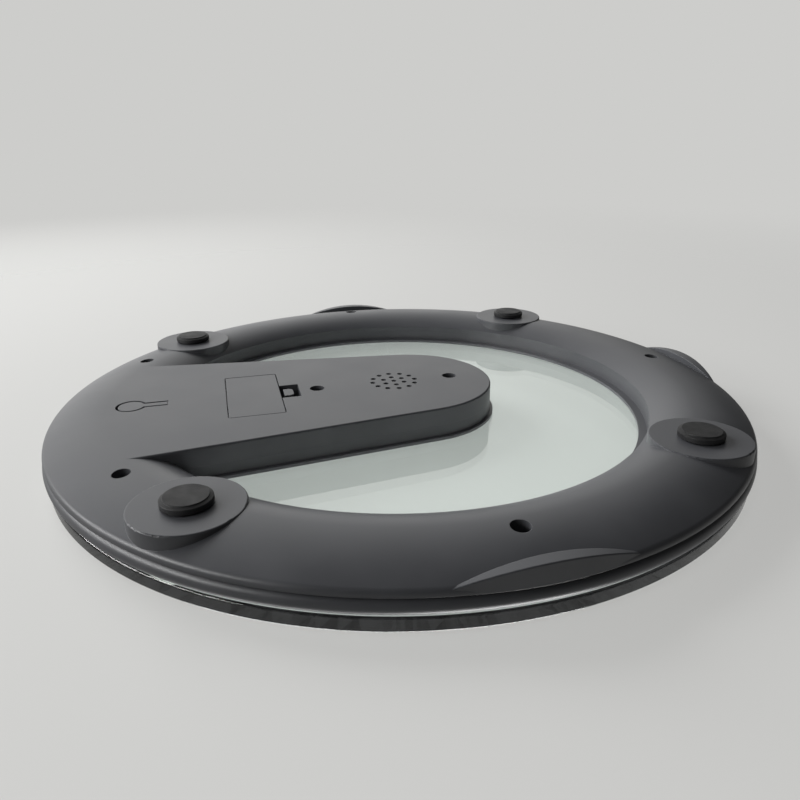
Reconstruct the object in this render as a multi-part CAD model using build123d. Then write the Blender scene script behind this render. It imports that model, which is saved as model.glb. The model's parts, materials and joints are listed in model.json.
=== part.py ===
from build123d import *

import os
from math import asin, cos, radians, sin, sqrt, tan

# Round talking bathroom scale: a clear glass platform on a ring housing with a tongue.
# Millimetres. +Z is up and the feet stand on z = 0. The Z axis is the platform's axis.
# The tongue's root and the display lie towards +Y, the toes' side, and its tip points to -Y.

# Heights of the housing, from the floor up; its depth follows from the cells' size
foot_height = 3.6
pod_proud = 0.4
bottom_shell_depth = 8.5
seam_land = 2.2
inner_drop = 6.1
tape_thickness = 0.5
glass_thickness = 6.0

# Plan and walls of the housing
rim_radius = 167.8
seam_inset = 0.6
crown_inset = 26.8
ring_width = 45.3
rim_edge_round = 2.6
glass_inset = 1.4
glass_edge_round = 1.2
wall = 2.2
deck_thickness = 2.2
groove_depth = 1.6
groove_height = 0.5
flange_width = 4.0
flange_thickness = 1.5

# Tongue
tip_radius = 42.6
tongue_reach = 145.2
tongue_flare = 7.2
tongue_flange_width = 1.6
tongue_edge_round = 0.8

# Grip lips on the outer flank
lip_angles = (-2, 182, 270)
lip_half_angle = 12.5
lip_thickness = 5.4
lip_bulge = 0.4
lip_height_middle = 8.0
lip_height_tip = 0.7
lip_edge_round = 0.5

# Pods, feet and load cells
corners = {"toe_right": 45, "toe_left": 135, "heel_left": 225, "heel_right": 315}
pod_cell_gap = 1.1
cell_wall_gap = 5.6
pod_edge_round = 0.6
pad_diameter = 18.9
tread_diameter = 16.2
tread_height = 0.45
ledge_drop = 0.5
pad_gap = 0.6
pad_edge_round = 0.4
cup_diameter = 14.2
cup_thickness = 1.2
neck_diameter = 9.2
collar_diameter = 12.0
collar_height = 1.0
nose_diameter = 6.0
foot_travel = 0.3
foot_clearance = 0.3
collar_lift = 0.15
nose_gap = 0.05
cell_side = 25.0
cell_thickness = 2.0
cell_height = 5.4
cell_bar = 4.0
cell_slot = 2.5
cell_tongue = 8.0
cell_rest_offset = 10.0
cell_rest_diameter = 4.5
cell_frame_wall = 2.5

# Housing screws: wells in the bottom shell, bosses in the top shell
ring_screw_inset = 21.8
ring_screw_angles = (-1.3, 60.95, 119.05, 181.3, 270)
door_screw_gap = 18.4
tip_screw_reach = 22.7
well_diameter = 7.2
well_wall = 1.3
screw_seat_drop = 1.0
screw_web = 1.6
screw_head_diameter = 5.6
screw_head_height = 1.9
screw_head_round = 0.6
screw_drive_width = 1.1
screw_drive_length = 3.4
screw_drive_depth = 1.0
screw_diameter = 3.0
screw_grip = 3.2
screw_clearance = 0.4
thread_clearance = 0.1
boss_diameter = 8.0

# Battery bay and door
cell_diameter = 10.5
battery_length = 44.5
battery_nub_diameter = 3.8
battery_nub_length = 1.2
battery_edge_round = 0.5
battery_pitch = 11.0
battery_side_gap = 0.4
battery_lift = 0.15
battery_headroom = 0.85
bay_wall = 1.2
bay_headroom = 0.3
leaf_depth = 5.1
contact_thickness = 0.4
contact_width = 8.0
contact_height = 7.0
contact_tab_height = 3.0
leaf_width = 4.0
leaf_crest = 0.9
negative_tab_reach = 6.0
positive_tab_reach = 2.5
door_end_lap = 2.0
door_latch_lap = 2.2
bay_board_gap = 1.6
door_thickness = 1.8
door_gap = 0.4
door_corner_round = 1.0
hook_places = (-15.0, 15.0)
hook_width = 7.0
hook_reach = 2.2
hook_thickness = 1.3
hook_root = 2.0
hook_gap = 0.2
hook_window_gap = 1.0
recess_length = 17.0
recess_width = 9.6
recess_wall = 1.2
recess_depth = 6.8
latch_width = 9.0
latch_leaf = 0.8
latch_bend_radius = 1.7
latch_rise = 2.4
latch_pad_length = 4.8
latch_pad_thickness = 1.0
latch_pad_sunk = 0.5

# Unit button and its switch
button_inset = 11.0
button_reach = 16.6
button_head_diameter = 11.8
button_arm_width = 3.8
button_slot = 1.1
button_root_gap = 0.1
button_post_diameter = 4.0
button_throw = 0.5
switch_side = 6.0
switch_height = 3.3
switch_roof = 1.1
plunger_diameter = 3.4
plunger_height = 0.8
plunger_clearance = 0.1
plunger_bore = 0.1

# Board and display
board_side_margin = 8.1
board_heel_margin = 3.1
board_toe_margin = 12.0
board_thickness = 1.2
board_standoff = 4.9
board_boss_inset = 4.0
board_boss_diameter = 6.0
board_screw_diameter = 2.0
board_screw_head_diameter = 3.8
board_screw_head_height = 1.2
board_screw_length = 4.0
display_inset = 28.0
lcd_length = 70.0
lcd_width = 34.0
lcd_thickness = 2.2
lcd_clearance = 0.3
lcd_deck_gap = 0.1
frame_wall = 2.6
window_margin_x = 4.0
window_margin_y = 4.5
lens_ledge = 2.0
lens_thickness = 1.4
lens_clearance = 0.15
reflector_thickness = 1.2
zebra_width = 2.4
chip_x = {"controller_chip": -22.0, "speech_chip": 20.0}
chip_drop = 9.0
blob_diameter = 11.0
blob_height = 1.6
blob_round = 1.3
package_size = (8.0, 6.0, 1.7)

# Speaker
speaker_tip_gap = 6.9
speaker_diameter = 28.0
speaker_depth = 3.2
speaker_flange = 2.2
speaker_flange_thickness = 0.8
speaker_plate_diameter = 16.0
speaker_sheet = 0.6
cone_thickness = 0.3
cone_depth = 1.6
dust_cap_diameter = 8.0
magnet_diameter = 15.0
magnet_height = 2.8
gasket_thickness = 0.7
speaker_clearance = 0.2
speaker_wall = 1.5
speaker_wall_height = 3.2
speaker_post_diameter = 9.0
terminal_size = (7.0, 3.4, 2.6)
grille_hole_diameter = 2.7
grille_counts = (1, 6, 12)
grille_ring_step = 5.5

# Glass supports and tape
support_diameter = 12.0
support_inset = 8.6
tape_inset = 15.8
tape_width = 12.0
tip_tape_diameter = 56.0

# Leads: stops of the load cells' leads are (distance outside their channel's line, angle)
cell_lead_diameter = 2.4
thin_lead_diameter = 1.6
lead_exit_run = 7.0
lead_bend_share = 0.45
cell_lead_offset = 6.25
lead_cell_gap = 0.4
toe_stops = ((3.3, 58.5),)
heel_stops = ((2.0, -28), (0.0, -13), (0.0, 2), (0.0, 17), (0.0, 32), (0.0, 46), (0.0, 58))
toe_entry = 30.5
heel_entry = 24.5
speaker_lead_stops = ((22.0, 24.0), (31.0, 42.0), (33.8, 60.0), (35.0, 75.0))

# Levels and places worked out from the sizes above
crown_z = foot_height + pod_proud
seam_z = crown_z + bottom_shell_depth
floor_z = crown_z + wall
door_inner_z = crown_z + door_thickness
battery_z = door_inner_z + battery_lift + cell_diameter / 2
ceiling_z = battery_z + cell_diameter / 2 + battery_headroom
deck_z = ceiling_z + deck_thickness
glass_z = deck_z + tape_thickness
pod_floor_z = foot_height + wall
cell_z = foot_height + cell_height
cell_top_z = cell_z + cell_thickness
seat_z = seam_z - screw_seat_drop
boss_z = seat_z + screw_web
board_z = floor_z + board_standoff
board_top_z = board_z + board_thickness
board_mid_z = board_z + board_thickness / 2
switch_z = board_z - switch_height
lcd_top_z = ceiling_z - lcd_deck_gap
lcd_z = lcd_top_z - lcd_thickness
seam_radius = rim_radius - seam_inset
crown_radius = rim_radius - crown_inset
ring_inner_radius = rim_radius - ring_width
groove_radius = seam_radius - groove_depth
flange_radius = ring_inner_radius - flange_width
foot_circle_radius = groove_radius - wall - cell_wall_gap - cell_side / 2
pod_diameter = cell_side * sqrt(2) + 2 * (pod_cell_gap + wall)
lead_line_radius = foot_circle_radius - (cell_side + cell_lead_diameter) / 2 - lead_cell_gap
tip_center_y = crown_radius - tongue_reach
button_head_y = crown_radius - button_inset
button_root_y = button_head_y - button_reach
display_y = crown_radius - display_inset
window_length = lcd_length - 2 * window_margin_x
window_width = lcd_width - 2 * window_margin_y
frame_half_length = lcd_length / 2 + lcd_clearance + frame_wall
frame_half_width = lcd_width / 2 + lcd_clearance + frame_wall
board_x = frame_half_length + board_side_margin
board_y = (display_y - frame_half_width - board_heel_margin, button_head_y + board_toe_margin)
bay_half_length = (battery_length + leaf_depth) / 2 + contact_thickness
bay_half_width = battery_pitch / 2 + cell_diameter / 2 + battery_side_gap
bay_center_y = board_y[0] - bay_board_gap - bay_wall - wall - bay_half_width
battery_rows = (bay_center_y - battery_pitch / 2, bay_center_y + battery_pitch / 2)
door_length = 2 * (bay_half_length + door_end_lap)
door_low_y = bay_center_y - bay_half_width - door_latch_lap
door_high_y = bay_center_y + bay_half_width + hook_root / 2
door_width = door_high_y - door_low_y
door_center_y = (door_low_y + door_high_y) / 2
speaker_y = tip_center_y + speaker_tip_gap
ring_screws = [(rim_radius - ring_screw_inset, angle) for angle in ring_screw_angles]
tongue_screws = [(0, door_low_y - door_screw_gap), (0, tip_center_y - tip_screw_reach)]


def polar(radius, angle):
    """Point of the plan at a radius and an angle in degrees."""
    return (radius * cos(radians(angle)), radius * sin(radians(angle)))


def screw_places():
    """Places of the housing screws: round the ring, beyond the battery door and in the tongue's tip."""
    return [polar(radius, angle) for radius, angle in ring_screws] + tongue_screws


def arc_radius(reach, drop):
    """Radius of an arc that starts level and falls by drop over reach."""
    return (reach**2 + drop**2) / (2 * drop)


def disc(diameter, low, high, place=(0, 0)):
    """Upright cylinder between two heights."""
    upright = (Align.CENTER, Align.CENTER, Align.MIN)
    return Pos(place[0], place[1], low) * Cylinder(diameter / 2, high - low, align=upright)


def block(x, y, z):
    """Box between low and high values along each axis."""
    size = Box(x[1] - x[0], y[1] - y[0], z[1] - z[0], align=(Align.MIN, Align.MIN, Align.MIN))
    return Pos(x[0], y[0], z[0]) * size


def prism(outline, low, high):
    """Plan outline raised between two heights."""
    return Pos(0, 0, low) * extrude(make_face(outline), high - low)


def spun(section):
    """Section of radius and height turned about the Z axis."""
    return revolve(Plane.XZ * make_face(section), Axis.Z)


def spun_polygon(*points):
    """Turned solid whose section is a polygon of (radius, height) points."""
    return spun(Polyline(*points, close=True))


def washer(inner, outer, low, high):
    """Flat ring between two radii and two heights."""
    return disc(2 * outer, low, high) - disc(2 * inner, low, high)


def at_corner(angle, shape, radius=foot_circle_radius):
    """Shape moved from the axis out to a radius and turned to an angle."""
    return Rot(0, 0, angle) * Pos(radius, 0, 0) * shape


def dome_arc(reach, drop, inset, side):
    """Arc of the ring's domed skin from its crown to one edge, moved inwards by inset."""
    radius = arc_radius(reach, drop)
    center_z = crown_z + radius
    skin = radius - inset
    end = asin((reach - inset) / skin)
    steps = [(crown_radius + side * skin * sin(a), center_z - skin * cos(a)) for a in (0, end / 2, end)]
    return ThreePointArc(*steps), steps[2]


def ring_section(inset, top):
    """Section of the bottom shell's ring, its skin moved inwards by inset and closed at the top."""
    inner_arc, inner_end = dome_arc(crown_radius - ring_inner_radius, inner_drop, inset, -1)
    outer_drop = bottom_shell_depth - seam_land
    outer_arc, outer_end = dome_arc(seam_radius - crown_radius, outer_drop, inset, 1)
    sides = Polyline(inner_end, (inner_end[0], top), (outer_end[0], top), outer_end)
    return [inner_arc, outer_arc, sides]


def tongue_outline(inset):
    """Plan of the tongue: a round tip between two flared sides, moved inwards by inset."""
    radius = tip_radius - inset
    flare = radians(tongue_flare)
    side = (radius * cos(flare), tip_center_y - radius * sin(flare))
    root_y = crown_radius
    root_x = side[0] + (root_y - side[1]) * tan(flare)
    tip = ThreePointArc((-side[0], side[1]), (0, tip_center_y - radius), side)
    return [tip, Polyline(side, (root_x, root_y), (-root_x, root_y), (-side[0], side[1]))]


def tongue(inset, low, high):
    """Tongue between two heights, ending in the ring's crown."""
    return prism(tongue_outline(inset), low, high) & disc(2 * crown_radius, low, high)


def keyhole(head_diameter, arm_width, root_y, low, high):
    """Round head on a straight arm."""
    arm = block((-arm_width / 2, arm_width / 2), (root_y, button_head_y), (low, high))
    return disc(head_diameter, low, high, (0, button_head_y)) + arm


def grip_lip():
    """Crescent wall on the outer flank, highest in its middle, at angle 0."""
    tip_radius_on_flank = seam_radius - seam_land / 4
    tips = [polar(tip_radius_on_flank, a) for a in (-lip_half_angle, lip_half_angle)]
    outer = (seam_radius + lip_bulge, 0)
    inner = (outer[0] - lip_thickness, 0)
    crescent = [ThreePointArc(tips[0], outer, tips[1]), ThreePointArc(tips[1], inner, tips[0])]
    wall_solid = prism(crescent, crown_z, seam_z)
    reach = tips[1][1]
    low_middle = (0, seam_z - lip_height_middle)
    low_tips = [(side * reach, seam_z - lip_height_tip) for side in (-1, 1)]
    top_line = ThreePointArc(low_tips[0], low_middle, low_tips[1])
    base_line = Polyline(low_tips[1], (reach, seam_z), (-reach, seam_z), low_tips[0])
    height = extrude(Plane.YZ * make_face([top_line, base_line]), outer[0] + lip_thickness)
    lip = wall_solid & height
    crest = lip.edges().filter_by(lambda e: e.center().Z < seam_z - lip_height_tip and e.length > reach)
    return fillet(crest, lip_edge_round)


def pod():
    """Flat round foot pod at angle 0, just inside the rim."""
    solid = disc(pod_diameter, foot_height, seam_z, (foot_circle_radius, 0))
    rim = solid.edges().sort_by(Axis.Z)[0]
    return fillet(rim, pod_edge_round)


def pod_hollow():
    """Room inside a pod for its load cell, at angle 0."""
    hollow = disc(pod_diameter - 2 * wall, pod_floor_z, deck_z, (foot_circle_radius, 0))
    return hollow & washer(ring_inner_radius + wall, seam_radius - wall, pod_floor_z, deck_z)


def cell_rests(low, high):
    """Four posts under the corners of a load cell, centred on the axis."""
    offsets = (-cell_rest_offset, cell_rest_offset)
    posts = [disc(cell_rest_diameter, low, high, (x, y)) for x in offsets for y in offsets]
    return Part() + posts


def bay_box(margin, low, high):
    """Block over the battery bay, larger than its inside by margin."""
    x = bay_half_length + margin
    y = bay_half_width + margin
    return block((-x, x), (bay_center_y - y, bay_center_y + y), (low, high))


def door_plate(margin, low, high):
    """Plate with the battery door's outline, larger by margin."""
    plate = RectangleRounded(door_length + 2 * margin, door_width + 2 * margin, door_corner_round + margin)
    return Pos(0, door_center_y, low) * extrude(plate, high - low)


def make_bottom_shell():
    """Ring and tongue moulding with pods, lips, wells, battery bay, speaker seat and grille."""
    section = make_face(ring_section(0, seam_z))
    rim_corner = section.vertices().group_by(Axis.X)[-1].sort_by(Axis.Y)[0]
    shell = revolve(Plane.XZ * fillet(rim_corner, rim_edge_round), Axis.Z)
    slab = prism(tongue_outline(0), crown_z, seam_z)
    edges = slab.faces().sort_by(Axis.Z)[0].edges()
    slab = fillet(edges, tongue_edge_round) & disc(2 * crown_radius, crown_z, seam_z)
    shell += slab
    shell += [Rot(0, 0, angle) * pod() for angle in corners.values()]
    shell += [Rot(0, 0, angle) * grip_lip() for angle in lip_angles]
    hollow = spun(ring_section(wall, deck_z)) + tongue(wall, floor_z, deck_z)
    hollow += [Rot(0, 0, angle) * pod_hollow() for angle in corners.values()]
    shell -= hollow
    shell += [at_corner(angle, cell_rests(foot_height + wall / 2, cell_z)) for angle in corners.values()]
    well_outer = well_diameter + 2 * well_wall
    shell += [disc(well_outer, crown_z + wall / 2, boss_z, place) for place in screw_places()]
    seat = (0, speaker_y)
    seat_bore = speaker_diameter + 2 * speaker_clearance
    seat_wall = disc(seat_bore + 2 * speaker_wall, crown_z + wall / 2, floor_z + speaker_wall_height, seat)
    shell += seat_wall - disc(seat_bore, floor_z, floor_z + speaker_wall_height, seat)
    bay_top = ceiling_z - bay_headroom
    shell += bay_box(bay_wall + wall, crown_z + wall / 2, bay_top) - bay_box(0, crown_z, bay_top)
    recess_x = recess_length / 2 + recess_wall
    recess_y = (door_low_y - recess_width - recess_wall, door_low_y + recess_wall)
    recess_top = crown_z + recess_depth + recess_wall
    shell += block((-recess_x, recess_x), recess_y, (crown_z + wall / 2, recess_top))
    shell -= door_plate(door_gap, crown_z, door_inner_z + battery_lift / 2)
    shell -= bay_box(0, crown_z, bay_top)
    recess_inner = (door_low_y - recess_width, bay_center_y - bay_half_width - bay_wall)
    shell -= block((-recess_length / 2, recess_length / 2), recess_inner, (crown_z, crown_z + recess_depth))
    window_top = floor_z + hook_gap + hook_thickness + hook_window_gap
    root_y = (door_high_y - hook_root - hook_gap, door_high_y + door_gap)
    reach_y = (root_y[0], door_high_y + hook_reach + wall)
    for x in hook_places:
        hook_x = (x - hook_width / 2 - hook_gap, x + hook_width / 2 + hook_gap)
        shell -= block(hook_x, root_y, (crown_z, window_top))
        shell -= block(hook_x, reach_y, (floor_z, window_top))
    slot_x = (-bay_half_length - bay_wall - 2 * wall, -bay_half_length)
    for y in battery_rows:
        slot_y = (y - contact_thickness, y + contact_thickness)
        shell -= block(slot_x, slot_y, (battery_z - contact_tab_height / 2, bay_top))
    shell -= [disc(well_diameter, foot_height, seat_z, place) for place in screw_places()]
    shank_hole = screw_diameter + screw_clearance
    shell -= [disc(shank_hole, seat_z, boss_z, place) for place in screw_places()]
    neck_hole = disc(neck_diameter + 2 * foot_clearance, foot_height, pod_floor_z)
    shell -= [at_corner(angle, neck_hole) for angle in corners.values()]
    slot_width = button_arm_width + 2 * button_slot
    shell -= keyhole(button_head_diameter + 2 * button_slot, slot_width, button_root_y, crown_z, floor_z)
    for ring, count in enumerate(grille_counts):
        spots = [polar(ring * grille_ring_step, 360 * k / count) for k in range(count)]
        shell -= [disc(grille_hole_diameter, crown_z, floor_z, (x, speaker_y + y)) for x, y in spots]
    return shell


def top_section():
    """Section of the top shell's ring: inner wall, flange under the glass, deck and rounded band."""
    band_low = (groove_radius, seam_z + groove_height)
    band_high = (groove_radius, deck_z)
    band_middle = (rim_radius, (band_low[1] + band_high[1]) / 2)
    flange_z = deck_z - flange_thickness
    sides = Polyline(
        band_low,
        (groove_radius, seam_z),
        (ring_inner_radius, seam_z),
        (ring_inner_radius, flange_z),
        (flange_radius, flange_z),
        (flange_radius, deck_z),
        band_high,
    )
    return [ThreePointArc(band_low, band_middle, band_high), sides]


def board_boss_places():
    """Corners of the board where its screws go."""
    x = board_x - board_boss_inset
    rows = (board_y[0] + board_boss_inset, board_y[1] - board_boss_inset)
    return [(side * x, y) for side in (-1, 1) for y in rows]


def make_top_shell():
    """Upper half of the housing: walls, deck under the glass, bosses and load-cell frames."""
    flange_z = deck_z - flange_thickness
    shell = spun(top_section()) + tongue(0, seam_z, deck_z) + tongue(-tongue_flange_width, flange_z, deck_z)
    hollow = washer(ring_inner_radius + wall, groove_radius - wall, seam_z, ceiling_z)
    shell -= hollow + tongue(wall, seam_z, ceiling_z)
    deck_mid = ceiling_z + deck_thickness / 2
    shell += [disc(boss_diameter, boss_z, deck_mid, place) for place in screw_places()]
    shell += [disc(board_boss_diameter, board_top_z, deck_mid, place) for place in board_boss_places()]
    half = cell_side / 2
    frame_inner = half - cell_frame_wall
    frame = block((-half, half), (-half, half), (cell_top_z, deck_mid))
    frame -= block((-frame_inner, frame_inner), (-frame_inner, frame_inner), (cell_top_z, ceiling_z))
    shell += [at_corner(angle, frame) for angle in corners.values()]
    magnet_top = floor_z + gasket_thickness + speaker_depth + magnet_height
    shell += disc(speaker_post_diameter, magnet_top, deck_mid, (0, speaker_y))
    pilot = screw_diameter + thread_clearance
    pilot_top = boss_z + screw_grip + thread_clearance
    shell -= [disc(pilot, boss_z, pilot_top, place) for place in screw_places()]
    board_pilot = board_screw_diameter + thread_clearance
    board_pilot_top = board_z + board_screw_length + thread_clearance
    shell -= [disc(board_pilot, board_top_z, board_pilot_top, place) for place in board_boss_places()]
    opening = Rectangle(window_length, window_width)
    shell -= Pos(0, display_y, ceiling_z) * extrude(opening, deck_thickness)
    seat = Rectangle(window_length + 2 * lens_ledge, window_width + 2 * lens_ledge)
    shell -= Pos(0, display_y, deck_z - lens_thickness) * extrude(seat, lens_thickness)
    return shell


def make_glass():
    """Clear round platform with a rounded edge."""
    plate = disc(2 * (rim_radius - glass_inset), glass_z, glass_z + glass_thickness)
    return fillet(plate.edges(), glass_edge_round)


def make_foot_pad():
    """Two-tier rubber foot, hollow on top for the cup's disc, centred on the axis."""
    pad_top = foot_height - pad_gap
    profile = Polyline(
        (0, 0),
        (tread_diameter / 2, 0),
        (tread_diameter / 2, tread_height),
        (pad_diameter / 2, tread_height + ledge_drop),
        (pad_diameter / 2, pad_top),
        (cup_diameter / 2, pad_top),
        (cup_diameter / 2, pad_top - cup_thickness),
        (0, pad_top - cup_thickness),
        close=True,
    )
    pad = spun(profile)
    tread_edge = pad.edges().filter_by(GeomType.CIRCLE).sort_by(Axis.Z)[0]
    return fillet(tread_edge, pad_edge_round)


def make_foot_cup():
    """Plunger that carries a pad, passes through the pod and stops just under its load cell."""
    pad_top = foot_height - pad_gap
    collar_z = pod_floor_z + collar_lift
    nose_top = cell_z - foot_travel - nose_gap
    return spun_polygon(
        (0, pad_top - cup_thickness),
        (cup_diameter / 2, pad_top - cup_thickness),
        (cup_diameter / 2, pad_top),
        (neck_diameter / 2, pad_top),
        (neck_diameter / 2, collar_z),
        (collar_diameter / 2, collar_z),
        (collar_diameter / 2, collar_z + collar_height),
        (nose_diameter / 2, collar_z + collar_height),
        (nose_diameter / 2, nose_top),
        (0, nose_top),
    )


def make_load_cell():
    """Steel plate with a bending tongue between two slots, centred on the axis."""
    half = cell_side / 2
    plate = block((-half, half), (-half, half), (cell_z, cell_top_z))
    slot_x = (-half + cell_bar, half - cell_bar)
    for side in (-1, 1):
        slot_y = sorted((side * cell_tongue / 2, side * (cell_tongue / 2 + cell_slot)))
        plate -= block(slot_x, slot_y, (cell_z, cell_top_z))
    end_x = (half - cell_bar - cell_slot, half - cell_bar)
    plate -= block(end_x, (-cell_tongue / 2, cell_tongue / 2), (cell_z, cell_top_z))
    return plate


def make_housing_screws():
    """Pan-head screws that hold the two shells together, one in each well."""
    screws = []
    for place in screw_places():
        head = disc(screw_head_diameter, seat_z - screw_head_height, seat_z, place)
        head = fillet(head.edges().sort_by(Axis.Z)[0], screw_head_round)
        for arm in ((screw_drive_width, screw_drive_length), (screw_drive_length, screw_drive_width)):
            drive = Box(arm[0], arm[1], 2 * screw_drive_depth)
            head -= Pos(place[0], place[1], seat_z - screw_head_height) * drive
        screws.append(head + disc(screw_diameter, seat_z, boss_z + screw_grip, place))
    return screws


def make_battery_door():
    """Flat door with two hooks on its root edge and a folded snap tab on the other."""
    door = door_plate(0, crown_z, door_inner_z)
    hook_z = floor_z + hook_gap
    for x in hook_places:
        half = hook_width / 2
        root = (door_high_y - hook_root, door_high_y)
        door += block((x - half, x + half), root, (crown_z, hook_z + hook_thickness))
        reach = (door_high_y - hook_root, door_high_y + hook_reach)
        door += block((x - half, x + half), reach, (hook_z, hook_z + hook_thickness))
    half = latch_width / 2
    bend_y = door_low_y + latch_leaf - latch_bend_radius
    bend_z = door_inner_z + latch_rise
    far_y = bend_y - latch_bend_radius
    bend = Cylinder(latch_bend_radius, latch_width) - Cylinder(latch_bend_radius - latch_leaf, latch_width)
    bend = Pos(0, bend_y, bend_z) * Rot(0, 90, 0) * bend
    upper_half = (bend_z, bend_z + latch_bend_radius)
    door += bend & block((-half, half), (far_y, door_low_y + latch_leaf), upper_half)
    door += block((-half, half), (door_low_y, door_low_y + latch_leaf), (crown_z, bend_z))
    pad_z = crown_z + latch_pad_sunk
    door += block((-half, half), (far_y, far_y + latch_leaf), (pad_z, bend_z))
    pad_y = (far_y + latch_leaf - latch_pad_length, far_y + latch_leaf)
    finger_pad = block((-half, half), pad_y, (pad_z, pad_z + latch_pad_thickness))
    front = finger_pad.edges().filter_by(Axis.Z).sort_by(Axis.Y)[:2]
    door += fillet(front, latch_pad_length / 2)
    return door


def make_battery(y, side):
    """AAA cell lying along X with its nub at one side of the bay."""
    body = Cylinder(cell_diameter / 2, battery_length - battery_nub_length)
    body = fillet(body.edges(), battery_edge_round)
    nub = Pos(0, 0, battery_length / 2) * Cylinder(battery_nub_diameter / 2, battery_nub_length)
    lie = Rot(0, 90 * side, 0)
    shift = side * (bay_half_length - contact_thickness - battery_length / 2 - battery_nub_length / 2)
    return Pos(shift, y, battery_z) * lie * (body + nub)


def contact_plate(side, y_low, y_high):
    """Flat plate against one end of the bay."""
    x = sorted((side * bay_half_length, side * (bay_half_length - contact_thickness)))
    z = (battery_z - contact_height / 2, battery_z + contact_height / 2)
    return block(x, (y_low, y_high), z)


def contact_leaf(side, y):
    """Bowed spring leaf that reaches from its plate to the flat end of a cell."""
    base = bay_half_length - contact_thickness
    tip = base - leaf_depth
    low = battery_z - contact_height / 2
    high = battery_z + contact_height / 2
    inside = tip + contact_thickness
    free_end = base - contact_thickness
    outline = Polyline(
        (base, low + leaf_crest),
        (inside, battery_z - leaf_crest / 2),
        (inside, battery_z + leaf_crest / 2),
        (free_end, high),
        (free_end - contact_thickness, high),
        (tip, battery_z + leaf_crest),
        (tip, battery_z - leaf_crest),
        (base, low),
        close=True,
    )
    leaf = Pos(0, y, 0) * extrude(Plane.XZ * make_face(outline), leaf_width / 2, both=True)
    return leaf if side > 0 else mirror(leaf, Plane.YZ)


def contact_tab(side, y, length):
    """Solder tab that leaves the bay through its slot."""
    x = sorted((side * bay_half_length, side * (bay_half_length + length)))
    z = (battery_z - contact_tab_height / 2, battery_z + contact_tab_height / 2)
    return block(x, (y - contact_thickness / 2, y + contact_thickness / 2), z)


def lead(diameter, points):
    """Round lead along straight runs joined by tangent arcs, as large as the runs allow."""
    path_points = [Vector(*p) for p in points]
    radii = []
    for before, corner, after in zip(path_points, path_points[1:], path_points[2:]):
        run_in = corner - before
        run_out = after - corner
        turn = radians(run_in.get_angle(run_out))
        radii.append(lead_bend_share * min(run_in.length, run_out.length) / tan(turn / 2))
    if radii:
        print("tightest bend of a lead", round(min(radii), 1))
    path = FilletPolyline(*path_points, radius=radii) if radii else Line(*path_points)
    section = Plane(origin=path @ 0, z_dir=path % 0) * Circle(diameter / 2)
    return sweep(section, path)


def cell_lead_points(name):
    """Route of one load cell's lead: level round the ring's channel, then up to the board's edge."""
    mirror_side = -1 if name.endswith("left") else 1
    at_toe = name.startswith("toe")
    cell_angle = corners["toe_right"] if at_toe else corners["heel_right"]
    cell_face = (foot_circle_radius - cell_lead_offset, cell_side / 2)
    leave = [cell_face, (cell_face[0], cell_face[1] + lead_exit_run)]
    turn = radians(cell_angle)
    route = [(x * cos(turn) - y * sin(turn), x * sin(turn) + y * cos(turn)) for x, y in leave]
    stops = toe_stops if at_toe else heel_stops
    route += [polar(lead_line_radius + outside, angle) for outside, angle in stops]
    level = cell_z + cell_thickness / 2
    points = [(mirror_side * x, y, level) for x, y in route]
    entry_y = board_y[0] + (toe_entry if at_toe else heel_entry)
    points += [(mirror_side * (board_x + run), entry_y, board_mid_z) for run in (lead_exit_run, 0)]
    return points


parts = {}

parts["bottom_shell"] = make_bottom_shell()
parts["top_shell"] = make_top_shell()
parts["glass_platform"] = make_glass()
tape_radius = rim_radius - tape_inset
parts["bonding_tape_ring"] = washer(tape_radius - tape_width, tape_radius, deck_z, glass_z)
parts["bonding_tape_tip"] = disc(tip_tape_diameter, deck_z, glass_z, (0, tip_center_y))
parts["housing_screws"] = make_housing_screws()

for corner, corner_angle in corners.items():
    support = disc(support_diameter, deck_z, glass_z)
    parts[f"glass_support_{corner}"] = at_corner(corner_angle, support, rim_radius - support_inset)
    parts[f"load_cell_{corner}"] = at_corner(corner_angle, make_load_cell())
    parts[f"foot_cup_{corner}"] = at_corner(corner_angle, make_foot_cup())
    parts[f"foot_pad_{corner}"] = at_corner(corner_angle, make_foot_pad())
    parts[f"cell_lead_{corner}"] = lead(cell_lead_diameter, cell_lead_points(corner))

# Battery compartment
plate_half = contact_width / 2
tab_lengths = (bay_wall + wall + negative_tab_reach, bay_wall + wall + positive_tab_reach)
parts["battery_door"] = make_battery_door()
parts["battery_heel"] = make_battery(battery_rows[0], 1)
parts["battery_toe"] = make_battery(battery_rows[1], -1)
link = contact_plate(1, battery_rows[0] - plate_half, battery_rows[1] + plate_half)
parts["link_contact"] = link + contact_leaf(1, battery_rows[1])
negative = contact_plate(-1, battery_rows[0] - plate_half, battery_rows[0] + plate_half)
negative += contact_leaf(-1, battery_rows[0])
parts["negative_contact"] = negative + contact_tab(-1, battery_rows[0], tab_lengths[0])
positive = contact_plate(-1, battery_rows[1] - plate_half, battery_rows[1] + plate_half)
parts["positive_contact"] = positive + contact_tab(-1, battery_rows[1], tab_lengths[1])
for lead_name, row, tab in zip(("negative_lead", "positive_lead"), battery_rows, tab_lengths):
    lead_x = -bay_half_length - tab + thin_lead_diameter
    lead_start = row + contact_thickness / 2
    ends = [(lead_x, lead_start, board_mid_z), (lead_x, board_y[0], board_mid_z)]
    parts[lead_name] = lead(thin_lead_diameter, ends)

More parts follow.
